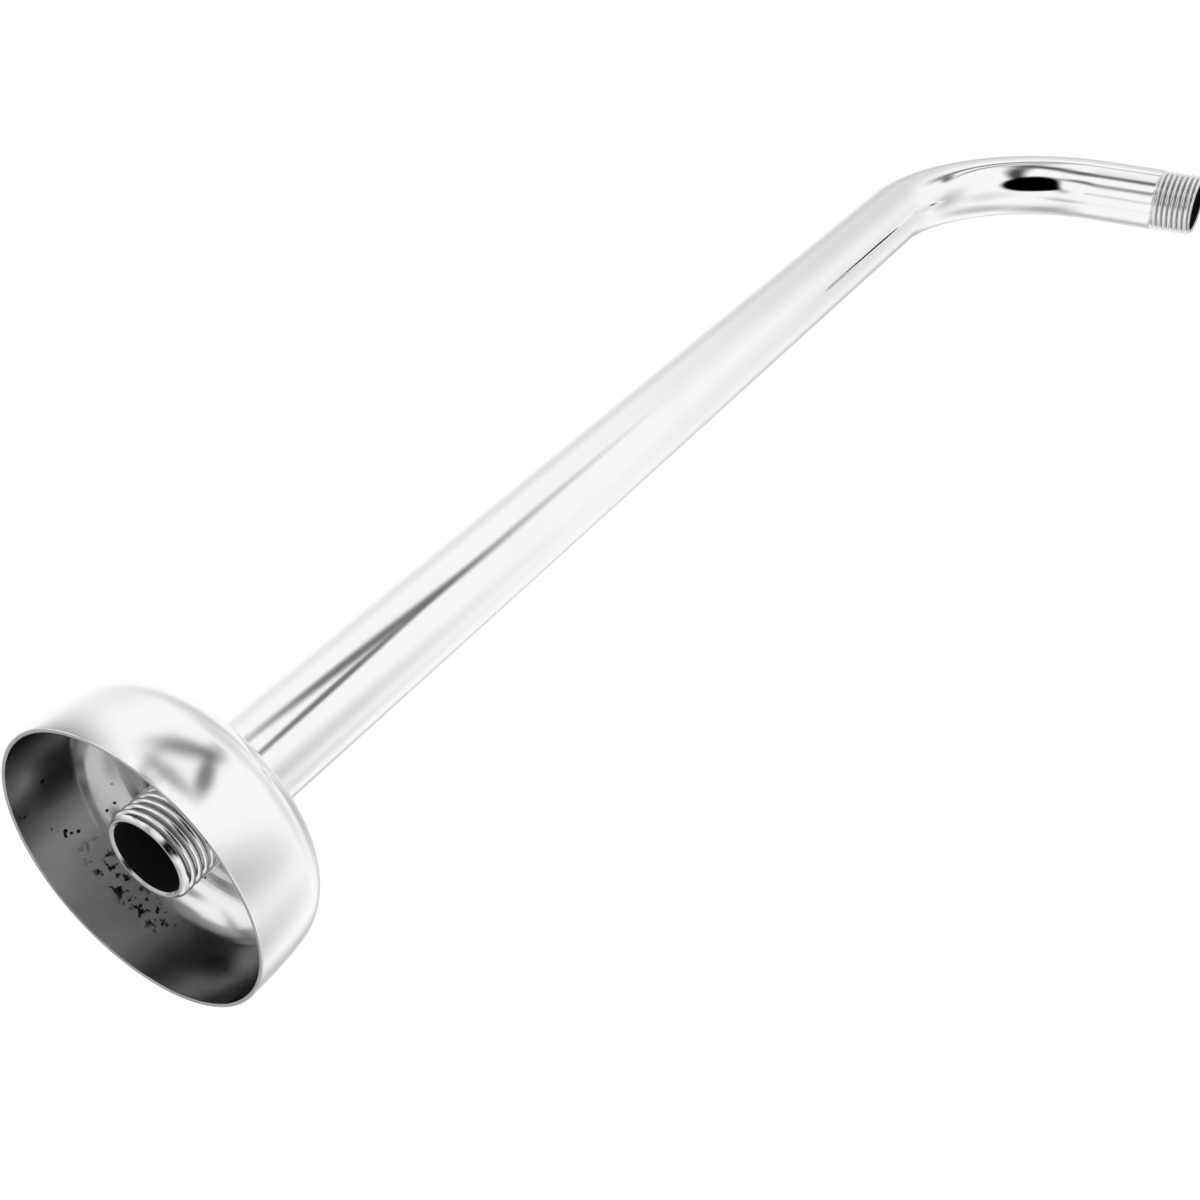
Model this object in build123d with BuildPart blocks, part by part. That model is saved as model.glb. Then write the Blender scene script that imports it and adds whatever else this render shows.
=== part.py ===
from build123d import *
import os

# Wall-mounted shower arm: a bent, chromed tube with a pipe thread at each end, and a loose
# round flange that slides along the tube to cover the hole in the wall.
# Frame: the origin is on the tube's axis where the wall thread ends and the plain tube begins,
# +X runs out of the wall along the arm, +Z is up and the outlet points down.
# Sizes are in millimetres and degrees.

# Half-inch pipe thread at both ends of the tube, drawn at its crests
thread_diameter = 20.955
wall_thread_length = 18.0
outlet_thread_length = 14.0
thread_lead_in = 1.0  # chamfer that starts the thread
thread_step = 0.1725  # how far the tube stands above the crests

# Tube
tube_wall = 2.0
mouth_chamfer = 0.4  # deburred edge of the bore
straight_run = 352.0  # plain tube, from the wall thread to the bend
bend_radius = 60.0  # of the tube's centre line
bend_angle = 90.0
outlet_leg = 34.0  # straight tube after the bend, thread included

# Flange, drawn from sheet metal
flange_diameter = 68.0  # at the open rim
flange_depth = 24.0
flange_sheet = 0.9
flange_flare = 1.1  # how much the wall widens on the radius, from the floor to the rim
flange_shoulder = 10.5  # outside radius between the wall and the floor
flange_edge_break = 0.2  # broken edges of the rim and the hole
flange_standoff = 0.6  # plain tube between the wall thread and the flange's floor
flange_clearance = 0.35  # between the hole and the tube, on the radius

thread_radius = thread_diameter / 2
tube_radius = thread_radius + thread_step
bore_radius = tube_radius - tube_wall
mouth_wall = thread_radius - bore_radius
floor_x = flange_standoff + flange_sheet
rim_x = floor_x - flange_depth
rim_radius = flange_diameter / 2
corner_radius = rim_radius - flange_flare
hole_radius = tube_radius + flange_clearance

os.makedirs("parts", exist_ok=True)

# Tube: bent once, then turned down at both ends for the threads
with BuildPart() as arm_tube:
    with BuildLine(Plane.XZ) as centre_line:
        run = Line((-wall_thread_length, 0), (straight_run, 0))
        bend = JernArc(run @ 1, run % 1, bend_radius, -bend_angle)
        leg = Line(bend @ 1, bend @ 1 + (bend % 1) * outlet_leg)
    wall_end = Plane(origin=run @ 0, x_dir=run % 0, z_dir=(0, -1, 0))
    outlet_end = Plane(origin=leg @ 1, x_dir=-(leg % 1), z_dir=(0, -1, 0))
    with BuildSketch(Plane(origin=run @ 0, z_dir=run % 0)) as tube_section:
        Circle(tube_radius)
        Circle(bore_radius, mode=Mode.SUBTRACT)
    sweep(path=centre_line.wires()[0])

    # The planes of both ends hold the tube's axis, with x running up the tube from its mouth.
    # The two chamfers leave part of the mouth's wall standing as a flat ring.
    lead_in = min(thread_lead_in, mouth_wall * 0.6)
    mouth_break = min(mouth_chamfer, mouth_wall * 0.3)
    for end, thread_length in ((wall_end, wall_thread_length), (outlet_end, outlet_thread_length)):
        with BuildSketch(end) as turned_away:
            with BuildLine():
                Polyline(
                    (0, thread_radius - lead_in),
                    (lead_in, thread_radius),
                    (thread_length, thread_radius),
                    (thread_length, tube_radius + tube_wall),
                    (0, tube_radius + tube_wall),
                    close=True,
                )
            make_face()
        revolve(axis=Axis(end.origin, end.x_dir), mode=Mode.SUBTRACT)
        mouth_face = arm_tube.faces().filter_by(GeomType.PLANE).sort_by_distance(end.origin)[0]
        mouth_edge = mouth_face.edges().sort_by(SortBy.RADIUS)[0]
        chamfer(mouth_edge, mouth_break)
arm_tube.part.label = "arm_tube"
export_step(arm_tube.part, "parts/arm_tube.step")

# Flange: a cup of even thickness, open to the wall, with a hole for the tube in its floor.
# The wall is drawn one sheet's thickness too long and trimmed square at the rim.
with BuildPart() as wall_flange:
    shoulder = min(flange_shoulder, 0.9 * (corner_radius - hole_radius), 0.9 * flange_depth)
    edge_break = min(flange_edge_break, 0.4 * flange_sheet)
    with BuildSketch(Plane.XZ) as flange_section:
        with BuildLine():
            FilletPolyline(
                (rim_x - flange_sheet, rim_radius + flange_flare * flange_sheet / flange_depth),
                (floor_x, corner_radius),
                (floor_x, hole_radius),
                radius=shoulder,
            )
            offset(amount=flange_sheet, side=Side.RIGHT)
        make_face()
    revolve(axis=Axis.X)
    split(bisect_by=Plane.YZ.offset(rim_x), keep=Keep.TOP)
    rim_edges = wall_flange.edges().group_by(Axis.X)[0]
    hole = wall_flange.faces().filter_by(GeomType.CYLINDER).sort_by(SortBy.AREA)[0]
    hole_edges = hole.edges().filter_by(GeomType.CIRCLE)
    chamfer(rim_edges + hole_edges, edge_break)
wall_flange.part.label = "wall_flange"
export_step(wall_flange.part, "parts/wall_flange.step")
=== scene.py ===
import math

import bmesh
import bpy
from mathutils import Matrix


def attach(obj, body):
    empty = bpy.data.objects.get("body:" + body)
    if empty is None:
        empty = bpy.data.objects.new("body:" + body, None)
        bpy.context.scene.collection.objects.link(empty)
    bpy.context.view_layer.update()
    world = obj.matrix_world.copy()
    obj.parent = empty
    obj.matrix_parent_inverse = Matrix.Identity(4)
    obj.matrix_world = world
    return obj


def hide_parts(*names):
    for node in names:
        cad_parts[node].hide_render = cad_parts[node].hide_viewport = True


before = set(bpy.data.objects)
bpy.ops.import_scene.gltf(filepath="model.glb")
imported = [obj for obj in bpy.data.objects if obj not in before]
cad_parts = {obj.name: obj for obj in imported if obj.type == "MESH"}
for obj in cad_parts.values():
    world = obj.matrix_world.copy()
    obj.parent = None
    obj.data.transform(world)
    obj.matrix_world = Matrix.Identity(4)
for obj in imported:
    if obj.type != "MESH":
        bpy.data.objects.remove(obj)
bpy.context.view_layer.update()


# The arm: one length of half-inch brass tube, bent once on a mandrel, polished and chromed.
# A right-handed pipe thread is cut on each end, and the bore keeps its raw, dull skin, coloured near
# black as painted shade deep inside the tube.
tube_radius = 0.01065
bore_radius = 0.00865
straight_run = 0.352
bend_radius = 0.060
plain_leg = 0.020
tube_sides = 128
bend_steps = 56
shoulder_break = 0.00009
shoulder_break_steps = 2
shoulder_band = 0.0004  # narrow band beside each turned edge, so that its shading stays there
mouth_break = 0.0004
arm_crease = math.radians(38)  # edges that turn further than this are shaded as edges

thread_radius = 0.0104775
thread_pitch = 0.001814
thread_depth = 0.001162
thread_lead_in = 0.0010
thread_run_out = 0.0011
thread_steps = 96
wall_thread_length = 0.018
outlet_thread_length = 0.014
# One pitch from root to root: share of the pitch, share of the depth
thread_profile = (
    (0.00, 0.00), (0.05, 0.06), (0.11, 0.25), (0.19, 0.52), (0.28, 0.76), (0.38, 0.93), (0.50, 1.00),
    (0.62, 0.93), (0.72, 0.76), (0.81, 0.52), (0.89, 0.25), (0.95, 0.06), (1.00, 0.00),
)
# The thread is screwed past both ends of its length and then cut off flat
turns_past_mouth = 1.5
spare_turns = 2

same_point = 2e-6  # points of neighbouring turns that are this close are one
same_seam = 1e-7  # for seams whose points fall on each other
radius_play = 2e-5  # how far an open edge may lie off the radius that it is looked for at

chrome_clean, chrome_smudged = 0.95, 0.91
chrome_roughness = (0.03, 0.075)  # clean and smudged
polish_roughness = 0.03  # what the polishing lines add
# The bore's near-black colour is painted shade deep inside the tube
bore_shade_colour = (0.015, 0.014, 0.013, 1)
bore_roughness = (0.45, 0.75)
# The roots' darker tone is partly thin plate and partly painted shade in the thread's grooves
thread_root_shade_tone = (0.52, 0.52, 0.51)
thread_crest_tone = 0.86
thread_roughness = (0.12, 0.24)
plate_ends, plate_full = 0.95, 0.35  # shares of the thread's depth, from the crests


def added(bm, before):
    """Points that came after those in before."""
    return [v for v in bm.verts if v not in before]


def with_faces(verts):
    """The points with their edges and faces."""
    edges = list({e for v in verts for e in v.link_edges})
    faces = list({f for v in verts for f in v.link_faces})
    return verts + edges + faces


def cut_thread(bm, length, place):
    """Screws the profile along -X from the tube's shoulder at x = 0, then puts it at its end."""
    before = set(bm.verts)
    root = thread_radius - thread_depth
    first = -length - turns_past_mouth * thread_pitch
    section = [
        bm.verts.new((first + along * thread_pitch, 0.0, root + height * thread_depth))
        for along, height in thread_profile
    ]
    edges = [bm.edges.new(pair) for pair in zip(section, section[1:])]
    bmesh.ops.spin(
        bm, geom=section + edges, cent=(0, 0, 0), axis=(1, 0, 0), angle=math.tau,
        dvec=(thread_pitch / thread_steps, 0, 0), steps=thread_steps, use_duplicate=False,
    )
    one_turn = with_faces(added(bm, before))
    for step in range(1, math.ceil(length / thread_pitch) + spare_turns):
        made = bmesh.ops.duplicate(bm, geom=one_turn)["geom"]
        moved = [g for g in made if isinstance(g, bmesh.types.BMVert)]
        bmesh.ops.translate(bm, verts=moved, vec=(step * thread_pitch, 0, 0))
    bmesh.ops.remove_doubles(bm, verts=added(bm, before), dist=same_point)
    for plane_x, outward in ((-length, -1), (0.0, 1)):
        bmesh.ops.bisect_plane(
            bm, geom=with_faces(added(bm, before)), dist=same_seam, plane_co=(plane_x, 0, 0),
            plane_no=(outward, 0, 0), clear_outer=True,
        )
    # The mouth is turned to a cone that starts the thread, and at the shoulder the groove runs out
    verts = added(bm, before)
    for v in verts:
        radius = math.hypot(v.co.y, v.co.z)
        highest = min(thread_radius, thread_radius - thread_lead_in + v.co.x + length)
        lowest = root + thread_depth * max(0.0, 1 + v.co.x / thread_run_out)
        turned = max(min(radius, highest), min(lowest, thread_radius))
        v.co.y *= turned / radius
        v.co.z *= turned / radius
    bmesh.ops.transform(bm, matrix=place, verts=verts)


def ring(bm, radius, place):
    """Edges of a circle round the tube's axis, at x = 0 of its place."""
    made = bmesh.ops.create_circle(
        bm, cap_ends=False, segments=tube_sides, radius=radius,
        matrix=place @ Matrix.Rotation(math.pi / 2, 4, "Y"),
    )
    return list({e for v in made["verts"] for e in v.link_edges})


def extrude(bm, edges, step):
    """Moves a copy of the edges by step, joined by faces, and returns the copy's edges."""
    made = bmesh.ops.extrude_edge_only(bm, edges=edges)["geom"]
    moved = [g for g in made if isinstance(g, bmesh.types.BMVert)]
    bmesh.ops.translate(bm, verts=moved, vec=step)
    made_edges = [g for g in made if isinstance(g, bmesh.types.BMEdge)]
    return [e for e in made_edges if all(v in moved for v in e.verts)]


def bend_round(bm, edges):
    """Takes the edges through the bend, from running along +X to running down."""
    verts = list({v for e in edges for v in e.verts})
    made = bmesh.ops.spin(
        bm, geom=verts + edges, cent=(straight_run, 0, -bend_radius), axis=(0, 1, 0),
        angle=math.pi / 2, steps=bend_steps, use_duplicate=False,
    )
    return [g for g in made["geom_last"] if isinstance(g, bmesh.types.BMEdge)]


def open_edges(bm, place, low, high):
    """Edges with one face that lie across the tube at x = 0 of the place, between two radii."""
    back = place.inverted()
    found = []
    for e in bm.edges:
        ends = [back @ v.co for v in e.verts]
        across = all(abs(p.x) < same_point for p in ends)
        between_radii = all(low < math.hypot(p.y, p.z) < high for p in ends)
        if len(e.link_faces) < 2 and across and between_radii:
            found.append(e)
    return found


def close_ring(bm, place, edges):
    """Fills the flat ring between two loops of edges, which folds over when it is bridged.

    The loops don't have the same points, so both are walked by their angle round the tube.
    """
    back = place.inverted()
    polar = {}
    for v in {v for e in edges for v in e.verts}:
        p = back @ v.co
        polar[v] = (math.hypot(p.y, p.z), math.atan2(p.z, p.y))
    radii = [radius for radius, angle in polar.values()]
    middle = (min(radii) + max(radii)) / 2
    by_angle = sorted(polar, key=lambda v: polar[v][1])
    inner = [v for v in by_angle if polar[v][0] < middle]
    outer = [v for v in by_angle if polar[v][0] >= middle]

    def angle(loop, step):
        return polar[loop[step % len(loop)]][1] + math.tau * (step // len(loop))

    i = j = 0
    while i < len(inner) or j < len(outer):
        a, b = inner[i % len(inner)], outer[j % len(outer)]
        inner_next = i < len(inner) and angle(inner, i + 1) <= angle(outer, j + 1)
        if j == len(outer) or inner_next:
            i += 1
            bm.faces.new((a, inner[i % len(inner)], b))
        else:
            j += 1
            bm.faces.new((a, outer[j % len(outer)], b))


outlet_x = straight_run + bend_radius
at_wall_shoulder = Matrix.Identity(4)
at_wall_mouth = Matrix.Translation((-wall_thread_length, 0, 0))
at_outlet_shoulder = (
    Matrix.Translation((outlet_x, 0, -bend_radius - plain_leg)) @ Matrix.Rotation(-math.pi / 2, 4, "Y")
)
at_outlet_mouth = at_outlet_shoulder @ Matrix.Translation((-outlet_thread_length, 0, 0))

bm = bmesh.new()
cut_thread(bm, wall_thread_length, at_wall_shoulder)
cut_thread(bm, outlet_thread_length, at_outlet_shoulder)
threads = set(bm.faces)

# Skin of the plain tube, from shoulder to shoulder, with the turned edges just broken
wall_step = ring(bm, tube_radius, at_wall_shoulder)
skin = extrude(bm, wall_step, (shoulder_band, 0, 0))
skin = extrude(bm, skin, (straight_run - shoulder_band, 0, 0))
skin = bend_round(bm, skin)
skin = extrude(bm, skin, (0, 0, shoulder_band - plain_leg))
outlet_step = extrude(bm, skin, (0, 0, -shoulder_band))
for place in (at_wall_shoulder, at_outlet_shoulder):
    shoulder = open_edges(bm, place, thread_radius - radius_play, tube_radius + radius_play)
    close_ring(bm, place, shoulder)
bmesh.ops.bevel(
    bm, geom=wall_step + outlet_step, offset=shoulder_break, offset_type="OFFSET",
    segments=shoulder_break_steps, profile=0.5, affect="EDGES", material=-1,
)

# Raw bore, with a deburred edge at both mouths
outside = set(bm.faces)
bore = ring(bm, bore_radius, at_wall_mouth @ Matrix.Translation((mouth_break, 0, 0)))
bore = extrude(bm, bore, (straight_run + wall_thread_length - mouth_break, 0, 0))
bore = bend_round(bm, bore)
bore = extrude(bm, bore, (0, 0, -plain_leg - outlet_thread_length + mouth_break))
raw = set(bm.faces) - outside
uncapped = set(bm.faces)
for place in (at_wall_mouth, at_outlet_mouth):
    deep = place @ Matrix.Translation((mouth_break, 0, 0))
    lip = ring(bm, bore_radius + mouth_break, place)
    bore_end = open_edges(bm, deep, bore_radius - radius_play, bore_radius + radius_play)
    bmesh.ops.bridge_loops(bm, edges=lip + bore_end)
    close_ring(bm, place, open_edges(bm, place, bore_radius, thread_radius))
mouths = set(bm.faces) - uncapped

skin_index, bore_index, thread_index = range(3)  # the order of the arm's materials
for f in bm.faces:
    f.smooth = True
    if f in raw:
        f.material_index = bore_index
    elif f in threads or f in mouths:
        f.material_index = thread_index
    else:
        f.material_index = skin_index
bmesh.ops.remove_doubles(bm, verts=bm.verts, dist=same_seam)
bmesh.ops.recalc_face_normals(bm, faces=bm.faces)
arm_mesh = bpy.data.meshes.new("arm")
bm.to_mesh(arm_mesh)
bm.free()
arm_mesh.set_sharp_from_angle(angle=arm_crease)

# Place along the tube as if it were still straight, so that the polishing lines follow the bend
bend_length = bend_radius * math.pi / 2
straightened = []
for v in arm_mesh.vertices:
    x, y, z = v.co
    if z < -bend_radius:
        straightened += (straight_run + bend_length - bend_radius - z, y, x - outlet_x)
    elif x > straight_run:
        turn = math.atan2(x - straight_run, z + bend_radius)
        off_axis = math.hypot(x - straight_run, z + bend_radius) - bend_radius
        straightened += (straight_run + bend_radius * turn, y, off_axis)
    else:
        straightened += (x, y, z)
along_tube = arm_mesh.attributes.new("straightened", "FLOAT_VECTOR", "POINT")
along_tube.data.foreach_set("vector", straightened)


def surface(name, even):
    """A material with its even values on the shader's own sockets; returns it, its tree and shader."""
    made = bpy.data.materials.new(name)
    made.use_nodes = True
    tree = made.node_tree
    shader = tree.nodes["Principled BSDF"]
    for socket, value in even.items():
        shader.inputs[socket].default_value = value
    return made, tree, shader


def node(tree, kind, links=(), **values):
    """A shader node with values on its sockets or properties, and inputs linked by name or number."""
    made = tree.nodes.new(kind)
    for key, value in values.items():
        name = key.replace("_", " ").title()
        if name in made.inputs:
            made.inputs[name].default_value = value
        else:
            setattr(made, key, value)
    for socket, source in links:
        tree.links.new(source, made.inputs[socket])
    return made


def noise(tree, vector, scale, detail):
    """Cloudy values round 0.5."""
    made = node(tree, "ShaderNodeTexNoise", [("Vector", vector)], scale=scale, detail=detail)
    return made.outputs["Fac"]


def distance(tree, vector):
    """How far the vector's end is from the origin."""
    return node(tree, "ShaderNodeVectorMath", [(0, vector)], operation="LENGTH").outputs["Value"]


def calc(tree, operation, *terms):
    """Works out the terms, each of them a number or the output of a node."""
    made = node(tree, "ShaderNodeMath", operation=operation)
    for socket, term in zip(made.inputs, terms):
        if isinstance(term, (int, float)):
            socket.default_value = term
        else:
            tree.links.new(term, socket)
    return made.outputs[0]


def spread(tree, value, start, end, interpolation_type="LINEAR"):
    """A value moved from one range to another, and held at its limits."""
    return node(
        tree, "ShaderNodeMapRange", [("Value", value)], interpolation_type=interpolation_type,
        from_min=start[0], from_max=start[1], to_min=end[0], to_max=end[1],
    ).outputs["Result"]


def between(tree, value, low, high):
    """A soft step from 0 to 1 as the value goes from low to high."""
    return spread(tree, value, (low, high), (0.0, 1.0), "SMOOTHSTEP")


def blend(tree, share, first, second):
    """A mix of two tones, each of them a grey, a colour or the output of a node."""
    made = node(tree, "ShaderNodeMix", [(0, share)], data_type="RGBA")
    # Of a Mix node's sockets, 6 and 7 are the two colours, and output 2 is the mixed one
    for number, tone in ((6, first), (7, second)):
        if isinstance(tone, float):
            tone = (tone, tone, tone)
        if isinstance(tone, tuple):
            made.inputs[number].default_value = (*tone, 1)
        else:
            tree.links.new(tone, made.inputs[number])
    return made.outputs[2]


tube_chrome, tree, shader = surface("tube_chrome", {"Metallic": 1.0})
along = node(tree, "ShaderNodeAttribute", attribute_name="straightened").outputs["Vector"]
# Long faint polishing lines
drawn_out = node(tree, "ShaderNodeMapping", [("Vector", along)], scale=(9.0, 900.0, 900.0))
lines = noise(tree, drawn_out.outputs[0], scale=1.0, detail=3.0)
grain = node(tree, "ShaderNodeBump", [("Height", lines)], strength=0.02, distance=0.0002)
tree.links.new(grain.outputs["Normal"], shader.inputs["Normal"])
# Handling smudges that dull the plate a little
smudges = noise(tree, along, scale=55.0, detail=4.0)
dulling = spread(tree, smudges, (0.45, 0.75), chrome_roughness)
roughness = calc(tree, "MULTIPLY_ADD", lines, polish_roughness, dulling)
tree.links.new(roughness, shader.inputs["Roughness"])
tint = blend(tree, smudges, chrome_clean, chrome_smudged)
tree.links.new(tint, shader.inputs["Base Color"])

# The bore: a dull raw skin, whose near-black colour is painted shade
shaded_raw_bore, tree, shader = surface(
    "shaded_raw_bore", {"Base Color": bore_shade_colour, "Metallic": 0.2, "Specular IOR Level": 0.1}
)
on_piece = node(tree, "ShaderNodeTexCoord").outputs["Object"]
scale_marks = noise(tree, on_piece, scale=400.0, detail=4.0)
roughness = spread(tree, scale_marks, (0.3, 0.7), bore_roughness)
tree.links.new(roughness, shader.inputs["Roughness"])

thread_plate, tree, shader = surface("thread_plate", {"Metallic": 1.0})
along = node(tree, "ShaderNodeAttribute", attribute_name="straightened").outputs["Vector"]
# The plate doesn't reach the roots, which are painted darker as painted shade in the grooves
across = node(tree, "ShaderNodeMapping", [("Vector", along)], scale=(0.0, 1.0, 1.0))
plated_out_of_root_shade = between(
    tree, distance(tree, across.outputs[0]),
    thread_radius - plate_ends * thread_depth, thread_radius - plate_full * thread_depth,
)
thread_tone_and_root_shade = blend(tree, plated_out_of_root_shade, thread_root_shade_tone, thread_crest_tone)
tree.links.new(thread_tone_and_root_shade, shader.inputs["Base Color"])
# Fine burrs that the cutter left
burrs = noise(tree, along, scale=900.0, detail=3.0)
roughness = spread(tree, burrs, (0.35, 0.7), thread_roughness)
tree.links.new(roughness, shader.inputs["Roughness"])
torn = node(tree, "ShaderNodeBump", [("Height", burrs)], strength=0.12, distance=0.0001)
tree.links.new(torn.outputs["Normal"], shader.inputs["Normal"])

arm = bpy.data.objects.new("arm", arm_mesh)
bpy.context.scene.collection.objects.link(arm)
for material in (tube_chrome, shaded_raw_bore, thread_plate):
    arm.data.materials.append(material)
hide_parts("arm_tube")
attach(arm, "arm")


# The flange: a round cup drawn from thin brass sheet, with a hole for the tube in its floor.
# Polished and chromed outside, only thinly plated inside. It is loose and slides along the tube.
rim_x = -0.0225
crown_x = -0.0155  # where the two sides of the wall's slight crown would meet
floor_x = 0.0015
sheet = 0.0009
rim_radius = 0.03386
crown_radius = 0.03423
corner_radius = 0.03216
hole_radius = 0.0110
shoulder_outside = 0.0105
shoulder_steps = 20
crown_reach = 0.0066
crown_steps = 12
edge_rounding = 0.00022
edge_steps = 4
flange_sides = 192
flange_crease = math.radians(40)
cup_side = -0.2  # faces that point less far outwards than this are the inside of the cup

flange_colour = (0.94, 0.94, 0.94, 1)
flange_roughness = (0.10, 0.14)
cup_wall_tones = (0.38, 0.50)
# The floor's two tones: a lighter side as painted light and a darker side as painted shade
cup_floor_light_and_shade = (0.86, 0.50)
cup_roughness = (0.15, 0.21)
# Where the floor's brighter tone, partly painted light, begins and is full
cup_floor_from, cup_floor_full = -0.0085, -0.0035  # the floor's brighter plate, along X
dirt_tone = 0.02

wall_lean = math.atan2(crown_radius - corner_radius, floor_x - crown_x)
rim_lean = math.atan2(crown_radius - rim_radius, crown_x - rim_x)
inner_crown_x = crown_x - sheet * math.tan((wall_lean - rim_lean) / 2)
inner_corner = crown_radius - sheet - (floor_x - sheet - inner_crown_x) * math.tan(wall_lean)
tangent = math.tan((math.pi / 2 - wall_lean) / 2)

# Half a section through the sheet, rounded at its corners and spun round the tube's axis
bm = bmesh.new()
corners = [
    bm.verts.new((x, 0, r)) for x, r in (
        (rim_x, rim_radius), (crown_x, crown_radius), (floor_x, corner_radius),
        (floor_x, hole_radius), (floor_x - sheet, hole_radius), (floor_x - sheet, inner_corner),
        (inner_crown_x, crown_radius - sheet), (rim_x, rim_radius - sheet),
    )
]
for a, b in zip(corners, corners[1:] + corners[:1]):
    bm.edges.new((a, b))
rim, crown, shoulder, hole, inner_hole, inner_shoulder, inner_crown, inner_rim = corners
for picked, offset, steps in (
    ([shoulder], shoulder_outside * tangent, shoulder_steps),
    ([inner_shoulder], (shoulder_outside - sheet) * tangent, shoulder_steps),
    ([crown, inner_crown], crown_reach, crown_steps),
    ([rim, hole, inner_hole, inner_rim], edge_rounding, edge_steps),
):
    bmesh.ops.bevel(
        bm, geom=picked, offset=offset, offset_type="OFFSET", segments=steps, profile=0.5,
        affect="VERTICES", material=-1,
    )
bmesh.ops.spin(
    bm, geom=bm.verts[:] + bm.edges[:], cent=(0, 0, 0), axis=(1, 0, 0), angle=math.tau,
    steps=flange_sides, use_merge=True, use_duplicate=False,
)
bmesh.ops.remove_doubles(bm, verts=bm.verts, dist=same_seam)
bmesh.ops.recalc_face_normals(bm, faces=bm.faces)
chrome_index, cup_index = range(2)  # the order of the flange's materials
for f in bm.faces:
    f.smooth = True
    middle = f.calc_center_median()
    from_axis = (f.normal.y * middle.y + f.normal.z * middle.z) / math.hypot(middle.y, middle.z)
    f.material_index = cup_index if f.normal.x + from_axis < cup_side else chrome_index
flange_mesh = bpy.data.meshes.new("flange")
bm.to_mesh(flange_mesh)
bm.free()
flange_mesh.set_sharp_from_angle(angle=flange_crease)

flange_chrome, tree, shader = surface("flange_chrome", {"Base Color": flange_colour, "Metallic": 1.0})
on_piece = node(tree, "ShaderNodeTexCoord").outputs["Object"]
smudges = noise(tree, on_piece, scale=70.0, detail=4.0)
roughness = spread(tree, smudges, (0.4, 0.75), flange_roughness)
tree.links.new(roughness, shader.inputs["Roughness"])

cup_plate, tree, shader = surface("cup_plate", {"Metallic": 1.0})
on_piece = node(tree, "ShaderNodeTexCoord").outputs["Object"]
parts = node(tree, "ShaderNodeSeparateXYZ", [(0, on_piece)]).outputs
# The plate is thin on the deep wall; the floor and the shoulder are brighter, partly as painted light
on_floor = between(tree, parts["X"], cup_floor_from, cup_floor_full)
# Marks of the drawing run from the floor to the rim
along_wall = node(tree, "ShaderNodeMapping", [("Vector", on_piece)], scale=(25.0, 200.0, 200.0))
drawn = noise(tree, along_wall.outputs[0], scale=1.0, detail=4.0)
wall_tone = blend(tree, drawn, *cup_wall_tones)
# Painted light and shade on the floor: lighter towards one side and darker towards the other, broken
# up by random blotches
blotches = noise(tree, on_piece, scale=90.0, detail=5.0)
shade_slant = calc(tree, "SUBTRACT", parts["Z"], parts["Y"])
blotched_shade_slant = calc(tree, "MULTIPLY_ADD", blotches, 0.012, shade_slant)
floor_tone_and_shade = blend(tree, between(tree, blotched_shade_slant, -0.004, 0.016), *cup_floor_light_and_shade)
tone = blend(tree, on_floor, wall_tone, floor_tone_and_shade)
# Specks of dried polish, in clusters
specks = node(tree, "ShaderNodeTexVoronoi", [("Vector", on_piece)], scale=620.0)
clusters = noise(tree, on_piece, scale=150.0, detail=2.0)
speck_reach = spread(tree, clusters, (0.55, 0.70), (0.0, 0.34))
speck = calc(tree, "LESS_THAN", specks.outputs["Distance"], speck_reach)
# A ragged run of dark smudges across one side of the wall, which fades out all round
ragged = noise(tree, on_piece, scale=680.0, detail=6.0)
smudge = between(tree, ragged, 0.55, 0.60)
for axis, clean, full in (
    ("X", -0.0150, -0.0125), ("X", -0.0065, -0.0090), ("Y", 0.013, 0.020), ("Z", 0.004, 0.010),
):
    smudge = calc(tree, "MULTIPLY", smudge, between(tree, parts[axis], clean, full))
dirt = calc(tree, "MAXIMUM", speck, smudge)
tree.links.new(blend(tree, dirt, tone, dirt_tone), shader.inputs["Base Color"])
roughness = spread(tree, blotches, (0.35, 0.7), cup_roughness)
tree.links.new(roughness, shader.inputs["Roughness"])
# Polishing rings on the floor
rings = node(
    tree, "ShaderNodeTexWave", [("Vector", on_piece)], wave_type="RINGS", rings_direction="X",
    scale=330.0, distortion=1.5, detail=2.0,
)
ringed = calc(tree, "MULTIPLY", rings.outputs["Fac"], on_floor)
grooves = node(tree, "ShaderNodeBump", [("Height", ringed)], strength=0.2, distance=0.00002)
tree.links.new(grooves.outputs["Normal"], shader.inputs["Normal"])

flange = bpy.data.objects.new("flange", flange_mesh)
bpy.context.scene.collection.objects.link(flange)
for material in (flange_chrome, cup_plate):
    flange.data.materials.append(material)
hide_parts("wall_flange")
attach(flange, "flange")


# The floor: a plain pale sheet of paper far below the arm, which hangs from a wall and stands on
# nothing. It is lit near the arm and runs out into the white of the tent.
floor_middle = (0.2, 0.0, -0.75)
floor_radius = 6.0
floor_sides = 96
paper_colour = (0.92, 0.92, 0.92, 1)
paper_to, white_from = 0.3, 2.2  # distances from the middle between which the paper runs out

bm = bmesh.new()
bmesh.ops.create_circle(
    bm, cap_ends=True, segments=floor_sides, radius=floor_radius,
    matrix=Matrix.Translation(floor_middle),
)
floor_mesh = bpy.data.meshes.new("floor")
bm.to_mesh(floor_mesh)
bm.free()

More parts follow.
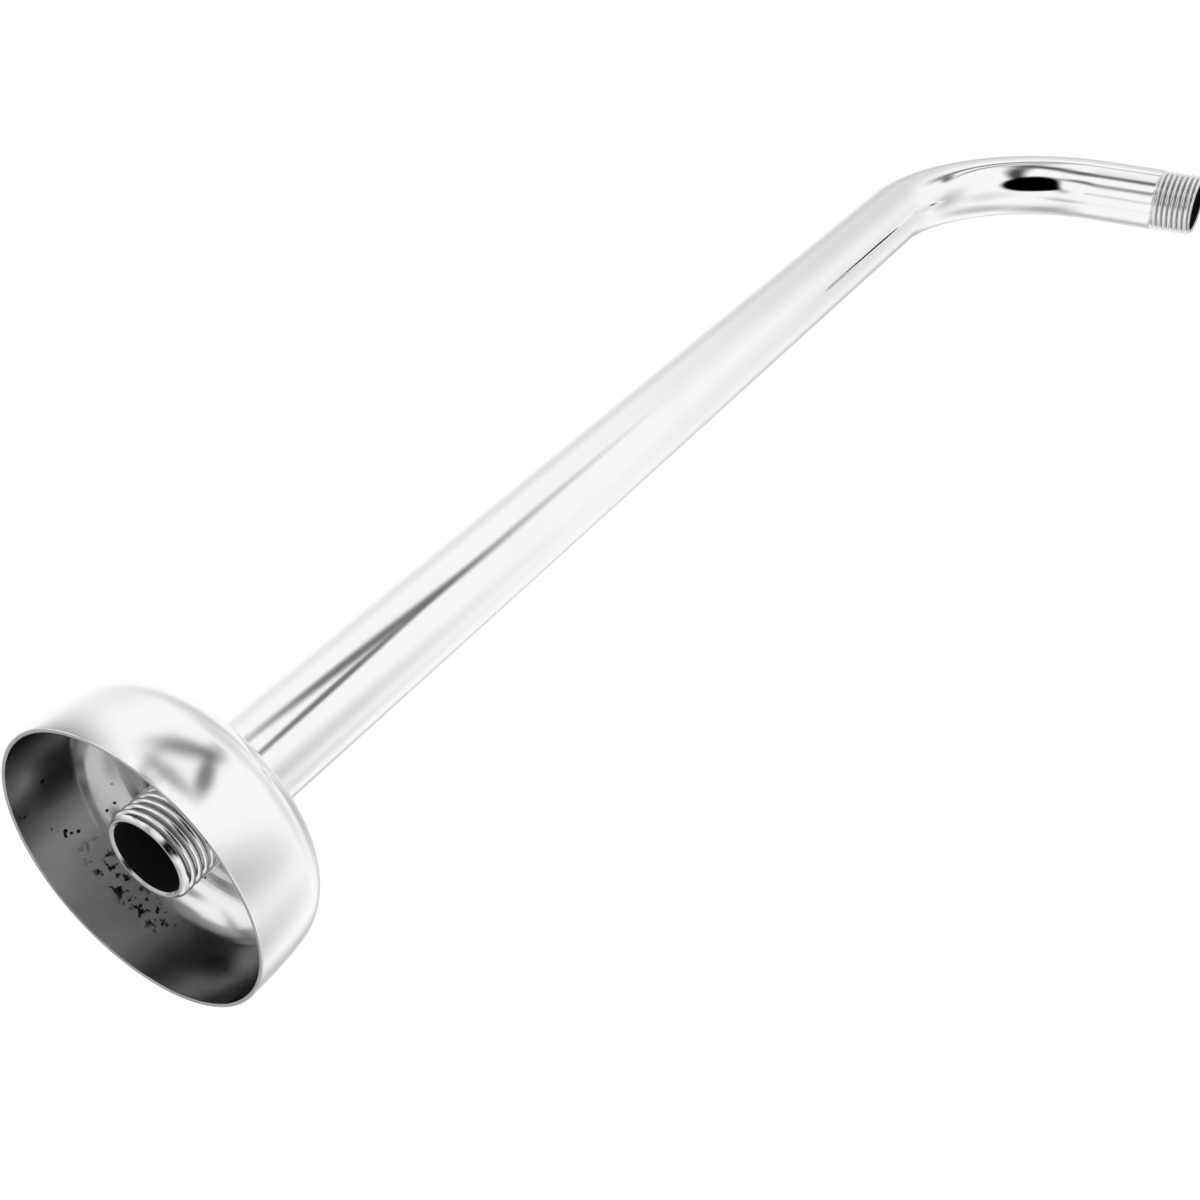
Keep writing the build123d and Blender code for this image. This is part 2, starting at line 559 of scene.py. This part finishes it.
floor_paper, tree, shader = surface("floor_paper", {"Base Color": paper_colour, "Roughness": 0.9})
on_piece = node(tree, "ShaderNodeTexCoord").outputs["Object"]
from_middle = node(
    tree, "ShaderNodeMapping", [("Vector", on_piece)], location=[-middle for middle in floor_middle]
)
away = distance(tree, from_middle.outputs[0])
seen = node(tree, "ShaderNodeLightPath").outputs["Is Camera Ray"]
run_out = calc(tree, "MULTIPLY", seen, between(tree, away, paper_to, white_from))
tent_white = node(tree, "ShaderNodeEmission", color=(1, 1, 1, 1), strength=1.0)
paper = node(
    tree, "ShaderNodeMixShader", [(0, run_out), (1, shader.outputs[0]), (2, tent_white.outputs[0])]
)
tree.links.new(paper.outputs[0], tree.nodes["Material Output"].inputs["Surface"])

floor = bpy.data.objects.new("floor", floor_mesh)
bpy.context.scene.collection.objects.link(floor)
floor.data.materials.append(floor_paper)
floor.visible_glossy = False


# The studio: an even white tent of cloth with one soft lamp above it. Polished chrome shows the
# dark and grey things in it: the open side where the camera stands, the edges of a soft box and
# the seams of the cloth.
lamp_size = 1.6
lamp_watts = 18
lamp_place = (0.2, -0.2, 1.4)
plain_light = 0.8  # what the tent gives to dull surfaces
chart_middle = -60  # turn at the middle of the chart, whose seam is half a turn away
# Each mark is a soft-edged oval on a chart of directions, in degrees: the turn round the arm's
# axis from -Y upwards, the angle from +X, half length, half width and tilt; then softness, depth.
studio_marks = (
    # Seen in the bend, the run and the flange from below at the wall end
    (-58, 138, 47, 28, -16, 0.24, 1.00),
    (-31, 105, 75, 8.6, -49, 0.82, 0.93),
    (8, 104, 16, 13, 28, 0.82, 0.84),
    (-3, 89, 32, 9.2, 75, 0.92, 0.89),
    (5, 139, 44, 11, 16, 0.93, 0.81),
    (-3, 55, 34, 5.0, 13, 0.84, 0.80),
    (-27, 57, 17, 5.4, -21, 0.78, 0.80),
    (-17, 49, 10, 15, 90, 1.0, 0.50),
    (-11, 63.4, 33, 3.4, 0, 0.8, 0.66),
    (70, 3, 43, 90, -10, 0.80, 0.27),
    (-92, 69, 46, 24, 20, 1.0, 0.42),
    (-92, 24, 90, 22, -10, 1.0, 0.22),
    (-188, 73, 65, 20, 54, 1.0, 0.48),
    (64, 73, 58, 13, 0, 0.8, 0.66),
    (14, 24, 90, 25, 0, 0.86, 0.27),
    (-149, 79, 31, 40, 43, 1.0, 0.45),
    (-186, 25, 52, 26, -25, 1.0, 0.50),
    # Seen from the other sides, where they part the tube's edges from the white behind it
    (48, 108, 9, 38, 0, 0.8, 0.60),
    (95, 108, 15, 48, 0, 0.9, 0.50),
    (-176, 98, 15, 40, 0, 1.0, 0.30),
    (-222, 104, 18, 42, 0, 1.0, 0.45),
    (20, 90, 14, 27, 0, 1.0, 0.35),
    (-105, 104, 26, 36, 0, 1.0, 0.22),
    (92, 163, 40, 15, 0, 1.0, 0.45),
    (-90, 167, 60, 10, 0, 1.0, 0.45),
    (-236, 138, 13, 22, 0, 1.0, 0.50),
    (112, 140, 20, 26, 0, 1.0, 0.45),
    (-165, 142, 42, 13, 0, 1.0, 0.42),
)

studio = bpy.data.worlds.new("studio")
bpy.context.scene.world = studio
studio.use_nodes = True
tree = studio.node_tree
tree.nodes.clear()
direction = node(tree, "ShaderNodeTexCoord").outputs["Generated"]
turned = node(
    tree, "ShaderNodeVectorRotate", [("Vector", direction)], rotation_type="X_AXIS",
    angle=math.radians(chart_middle),
)
parts = node(tree, "ShaderNodeSeparateXYZ", [(0, turned.outputs[0])]).outputs
round_axis = calc(tree, "ARCTAN2", parts["Z"], calc(tree, "MULTIPLY", parts["Y"], -1))
from_axis = calc(tree, "ARCCOSINE", parts["X"])
chart = node(tree, "ShaderNodeCombineXYZ", [("X", round_axis), ("Y", from_axis)]).outputs[0]
level = None
for turn, angle, half_length, half_width, tilt, softness, depth in studio_marks:
    in_mark = node(
        tree, "ShaderNodeMapping", [("Vector", chart)], vector_type="TEXTURE",
        location=(math.radians(turn - chart_middle), math.radians(angle), 0),
        rotation=(0, 0, math.radians(tilt)),
        scale=(math.radians(half_length), math.radians(half_width), 1),
    )
    away = distance(tree, in_mark.outputs[0])
    shade = spread(tree, away, (1 - softness, 1.0), (1 - depth, 1.0), "SMOOTHSTEP")
    level = shade if level is None else calc(tree, "MULTIPLY", level, shade)
room = node(tree, "ShaderNodeBackground", [("Color", level)], strength=1.0)
white = node(tree, "ShaderNodeBackground", color=(1, 1, 1, 1), strength=1.0)
plain = node(tree, "ShaderNodeBackground", color=(1, 1, 1, 1), strength=plain_light)
path = node(tree, "ShaderNodeLightPath").outputs
mirrored = calc(tree, "MAXIMUM", path["Is Glossy Ray"], path["Is Transmission Ray"])
seen_in_metal = node(
    tree, "ShaderNodeMixShader", [(0, mirrored), (1, plain.outputs[0]), (2, room.outputs[0])]
)
seen = node(
    tree, "ShaderNodeMixShader",
    [(0, path["Is Camera Ray"]), (1, seen_in_metal.outputs[0]), (2, white.outputs[0])],
)
node(tree, "ShaderNodeOutputWorld", [("Surface", seen.outputs[0])])

overhead = bpy.data.lights.new("overhead", "AREA")
overhead.shape = "DISK"
overhead.size = lamp_size
overhead.energy = lamp_watts
overhead_lamp = bpy.data.objects.new("overhead", overhead)
overhead_lamp.location = lamp_place
overhead_lamp.visible_glossy = False
overhead_lamp.visible_camera = False
bpy.context.scene.collection.objects.link(overhead_lamp)


# The camera: it stands below the arm at its wall end and looks up along it, past the open cup of
# the flange to the bend. It is rolled, so that the arm runs from the lower left to the upper right.
camera_right = (0.52415, 0.03566, -0.85088)
camera_up = (0.51103, -0.81242, 0.28075)
camera_back = (-0.68126, -0.58198, -0.44405)
camera_eye = (-0.14652, -0.20977, -0.19263)
camera_data = bpy.data.cameras.new("camera")
camera_data.sensor_width = 36.0
camera_data.lens = 45.259
camera_data.clip_start = 0.01
camera = bpy.data.objects.new("camera", camera_data)
camera_turn = Matrix((camera_right, camera_up, camera_back)).transposed()
camera.matrix_world = Matrix.Translation(camera_eye) @ camera_turn.to_4x4()
bpy.context.scene.collection.objects.link(camera)
bpy.context.scene.camera = camera
bpy.context.scene.view_settings.view_transform = "Standard"
